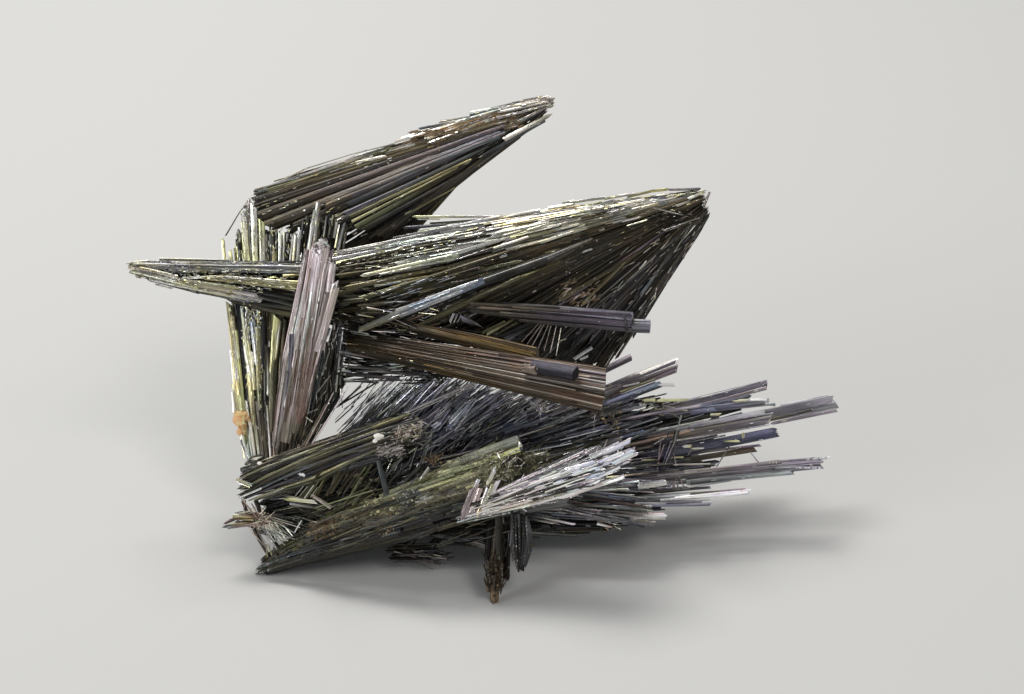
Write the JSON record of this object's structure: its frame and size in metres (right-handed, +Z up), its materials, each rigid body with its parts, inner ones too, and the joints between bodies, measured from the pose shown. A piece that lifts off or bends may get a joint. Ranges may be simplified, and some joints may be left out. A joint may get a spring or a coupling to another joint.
{
  "type": "stibnite crystal spray",
  "caption": "Free-standing cluster of long striated metallic prisms in crossing fans and sheaves, a mineral specimen.",
  "frame": {"origin": "middle of the cluster's box in X and Y, on the plane it rests on", "axes": "+X along the long lower spray towards its terminated crystals, +Y away from the showing side, +Z up"},
  "size_m": [0.0906, 0.045, 0.0487],
  "materials": {
    "steel_stibnite": "metallic, finely striated",
    "bronze_stibnite": "dark bronze tarnish, striated",
    "olive_stibnite": "olive-gold tarnish, striated",
    "mauve_stibnite": "pinkish silver, striated",
    "copper_stibnite": "copper-brown tarnish, striated",
    "violet_stibnite": "violet-grey tarnish, striated",
    "silver_stibnite": "bright silver, striated",
    "earthy_stibnite": "dull brown, partly oxidised"
  },
  "bodies": {
    "root": {"upper_fan": "bronze_stibnite", "middle_fan": "bronze_stibnite", "left_spear": "steel_stibnite", "lance_crystal": "steel_stibnite", "olive_lance": "olive_stibnite", "upright_spray": "olive_stibnite", "front_blade": "mauve_stibnite", "brown_prism": "copper_stibnite", "stub_crystal": "violet_stibnite", "grey_prism": "violet_stibnite", "lower_spray": "violet_stibnite", "lower_blade_back": "olive_stibnite", "lower_blade_front": "olive_stibnite", "silver_sheaf": "silver_stibnite", "foot_cluster": "earthy_stibnite", "left_tuft": "earthy_stibnite", "rear_needles": "bronze_stibnite"}
  },
  "joints": []
}
